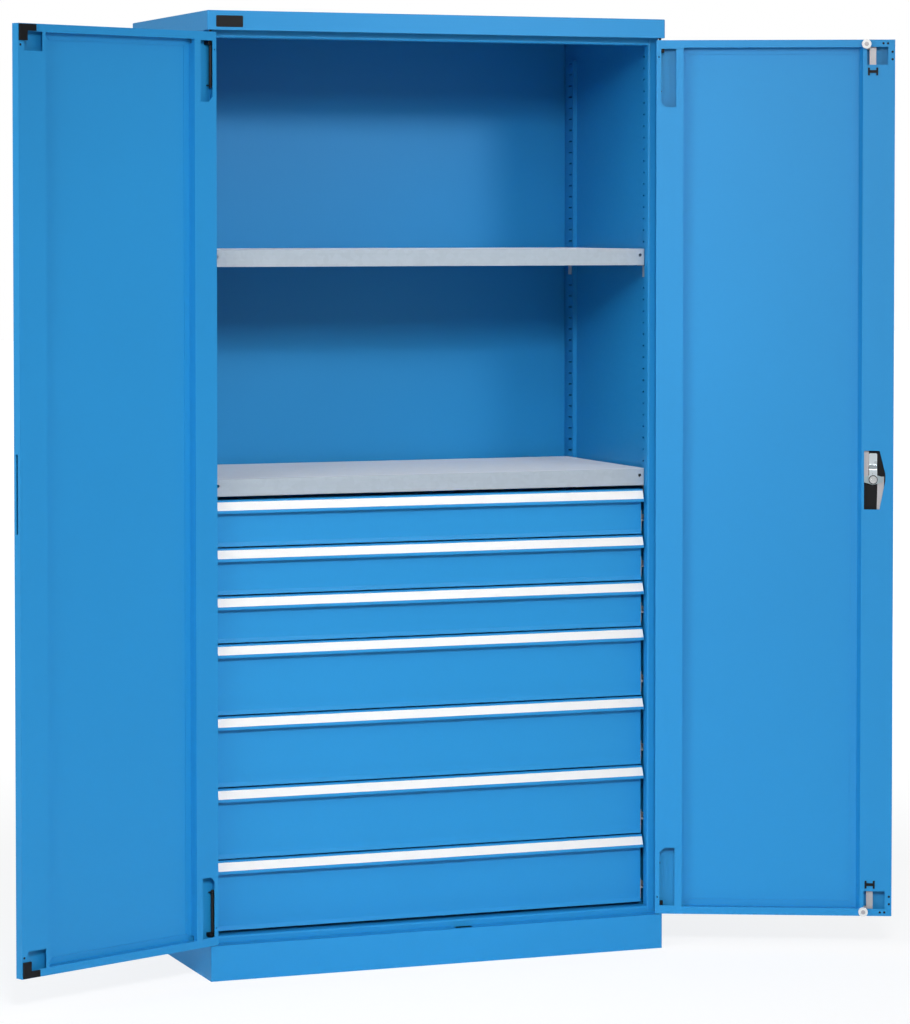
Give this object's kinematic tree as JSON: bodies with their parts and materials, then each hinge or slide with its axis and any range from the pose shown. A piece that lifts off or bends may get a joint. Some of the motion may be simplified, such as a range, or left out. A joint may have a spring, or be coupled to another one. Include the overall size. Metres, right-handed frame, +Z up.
{
  "type": "tool cabinet with doors",
  "caption": "Tall sheet-steel cabinet with two hinged doors, adjustable shelves above and full-width drawers below, and a rod lock that holds the doors at top and bottom.",
  "frame": {"origin": "centre of the cabinet's footprint, on the floor", "axes": "+X to the viewer's right, +Y to the back of the cabinet, +Z up"},
  "size_m": [1.9335, 0.763, 2],
  "materials": {
    "blue_paint": "satin powder coat",
    "galvanised_steel": "bright galvanised sheet",
    "bright_steel": "zinc-plated, satin",
    "black_plastic": "fine-grained black plastic",
    "white_plastic": "smooth white plastic",
    "white_strip": "smooth white strip"
  },
  "bodies": {
    "cabinet": {"plinth": "blue_paint", "left_side_panel": "blue_paint", "right_side_panel": "blue_paint", "back_panel": "blue_paint", "top_cap": "blue_paint", "top_rail": "blue_paint", "floor_panel": "blue_paint", "perforated_uprights": "blue_paint", "upper_shelf": "galvanised_steel", "lower_shelf": "galvanised_steel", "shelf_clips": "galvanised_steel", "fixed_slide_rails": "galvanised_steel", "hinge_plates": "bright_steel"},
    "left_door": {"left_door_skin": "blue_paint", "left_door_frame": "blue_paint", "left_door_hinge_pins": "bright_steel", "left_door_corner_blocks": "black_plastic"},
    "right_door": {"right_door_skin": "blue_paint", "right_door_frame": "blue_paint", "right_door_hinge_pins": "bright_steel", "rod_guides": "black_plastic", "lock_housing": "black_plastic", "lock_escutcheon": "black_plastic"},
    "lock": {"turning_handle": "black_plastic", "lock_spindle": "bright_steel", "lock_drive_plate": "bright_steel", "lock_tongue": "bright_steel"},
    "key_cylinder": {"key_cylinder": "bright_steel"},
    "upper_rod": {"upper_lock_rod": "bright_steel"},
    "lower_rod": {"lower_lock_rod": "bright_steel"},
    "upper_roller": {"upper_lock_roller": "white_plastic"},
    "lower_roller": {"lower_lock_roller": "white_plastic"},
    "drawer_1": {"drawer_1_box": "galvanised_steel", "drawer_1_front": "blue_paint", "drawer_1_label_strip": "white_strip"},
    "drawer_1_rails": {"drawer_1_middle_rails": "galvanised_steel"},
    "drawer_2": {"drawer_2_box": "galvanised_steel", "drawer_2_front": "blue_paint", "drawer_2_label_strip": "white_strip"},
    "drawer_2_rails": {"drawer_2_middle_rails": "galvanised_steel"},
    "drawer_3": {"drawer_3_box": "galvanised_steel", "drawer_3_front": "blue_paint", "drawer_3_label_strip": "white_strip"},
    "drawer_3_rails": {"drawer_3_middle_rails": "galvanised_steel"},
    "drawer_4": {"drawer_4_box": "galvanised_steel", "drawer_4_front": "blue_paint", "drawer_4_label_strip": "white_strip"},
    "drawer_4_rails": {"drawer_4_middle_rails": "galvanised_steel"},
    "drawer_5": {"drawer_5_box": "galvanised_steel", "drawer_5_front": "blue_paint", "drawer_5_label_strip": "white_strip"},
    "drawer_5_rails": {"drawer_5_middle_rails": "galvanised_steel"},
    "drawer_6": {"drawer_6_box": "galvanised_steel", "drawer_6_front": "blue_paint", "drawer_6_label_strip": "white_strip"},
    "drawer_6_rails": {"drawer_6_middle_rails": "galvanised_steel"},
    "drawer_7": {"drawer_7_box": "galvanised_steel", "drawer_7_front": "blue_paint", "drawer_7_label_strip": "white_strip"},
    "drawer_7_rails": {"drawer_7_middle_rails": "galvanised_steel"}
  },
  "joints": [
    {"name": "left_door_hinge", "type": "hinge", "parent": "cabinet", "child": "left_door", "pos_m": [-0.503, -0.2685, 1.0153], "axis": [0, 0, -1], "range_deg": [-156.7, 23.3]},
    {"name": "right_door_hinge", "type": "hinge", "parent": "cabinet", "child": "right_door", "pos_m": [0.503, -0.2685, 1.0153], "axis": [0, 0, 1], "range_deg": [-155.6, 24.4]},
    {"name": "lock_turn", "type": "hinge", "parent": "right_door", "child": "lock", "pos_m": [0.92381, -0.44951, 1.0153], "axis": [0.4131, 0.9107, 0], "range_deg": [0, 90]},
    {"name": "key_turn", "type": "hinge", "parent": "lock", "child": "key_cylinder", "pos_m": [0.92381, -0.44951, 1.0153], "axis": [0.4131, 0.9107, 0], "range_deg": [0, 90]},
    {"name": "upper_rod_slide", "type": "slide", "parent": "right_door", "child": "upper_rod", "axis": [0, 0, 1], "range_m": [0, 0.017]},
    {"name": "lower_rod_slide", "type": "slide", "parent": "right_door", "child": "lower_rod", "axis": [0, 0, -1], "range_m": [0, 0.017]},
    {"name": "upper_roller_spin", "type": "hinge", "parent": "upper_rod", "child": "upper_roller", "pos_m": [0.89916, -0.46028, 1.946], "axis": [0.4131, 0.9107, 0], "continuous": true},
    {"name": "lower_roller_spin", "type": "hinge", "parent": "lower_rod", "child": "lower_roller", "pos_m": [0.89916, -0.46028, 0.0846], "axis": [0.4131, 0.9107, 0], "continuous": true},
    {"name": "drawer_1_slide", "type": "slide", "parent": "cabinet", "child": "drawer_1", "axis": [0, -1, 0], "range_m": [0, 0.43]},
    {"name": "drawer_1_rails_slide", "type": "slide", "parent": "cabinet", "child": "drawer_1_rails", "axis": [0, -1, 0], "range_m": [0, 0.215]},
    {"name": "drawer_2_slide", "type": "slide", "parent": "cabinet", "child": "drawer_2", "axis": [0, -1, 0], "range_m": [0, 0.43]},
    {"name": "drawer_2_rails_slide", "type": "slide", "parent": "cabinet", "child": "drawer_2_rails", "axis": [0, -1, 0], "range_m": [0, 0.215]},
    {"name": "drawer_3_slide", "type": "slide", "parent": "cabinet", "child": "drawer_3", "axis": [0, -1, 0], "range_m": [0, 0.43]},
    {"name": "drawer_3_rails_slide", "type": "slide", "parent": "cabinet", "child": "drawer_3_rails", "axis": [0, -1, 0], "range_m": [0, 0.215]},
    {"name": "drawer_4_slide", "type": "slide", "parent": "cabinet", "child": "drawer_4", "axis": [0, -1, 0], "range_m": [0, 0.43]},
    {"name": "drawer_4_rails_slide", "type": "slide", "parent": "cabinet", "child": "drawer_4_rails", "axis": [0, -1, 0], "range_m": [0, 0.215]},
    {"name": "drawer_5_slide", "type": "slide", "parent": "cabinet", "child": "drawer_5", "axis": [0, -1, 0], "range_m": [0, 0.43]},
    {"name": "drawer_5_rails_slide", "type": "slide", "parent": "cabinet", "child": "drawer_5_rails", "axis": [0, -1, 0], "range_m": [0, 0.215]},
    {"name": "drawer_6_slide", "type": "slide", "parent": "cabinet", "child": "drawer_6", "axis": [0, -1, 0], "range_m": [0, 0.43]},
    {"name": "drawer_6_rails_slide", "type": "slide", "parent": "cabinet", "child": "drawer_6_rails", "axis": [0, -1, 0], "range_m": [0, 0.215]},
    {"name": "drawer_7_slide", "type": "slide", "parent": "cabinet", "child": "drawer_7", "axis": [0, -1, 0], "range_m": [0, 0.43]},
    {"name": "drawer_7_rails_slide", "type": "slide", "parent": "cabinet", "child": "drawer_7_rails", "axis": [0, -1, 0], "range_m": [0, 0.215]}
  ],
  "couplings": [
    {"joint": "lock_turn", "follows": "upper_rod_slide", "rad_per_m": 92.39},
    {"joint": "lower_rod_slide", "follows": "upper_rod_slide", "ratio": 1},
    {"joint": "drawer_1_rails_slide", "follows": "drawer_1_slide", "ratio": 0.5},
    {"joint": "drawer_2_rails_slide", "follows": "drawer_2_slide", "ratio": 0.5},
    {"joint": "drawer_3_rails_slide", "follows": "drawer_3_slide", "ratio": 0.5},
    {"joint": "drawer_4_rails_slide", "follows": "drawer_4_slide", "ratio": 0.5},
    {"joint": "drawer_5_rails_slide", "follows": "drawer_5_slide", "ratio": 0.5},
    {"joint": "drawer_6_rails_slide", "follows": "drawer_6_slide", "ratio": 0.5},
    {"joint": "drawer_7_rails_slide", "follows": "drawer_7_slide", "ratio": 0.5}
  ]
}
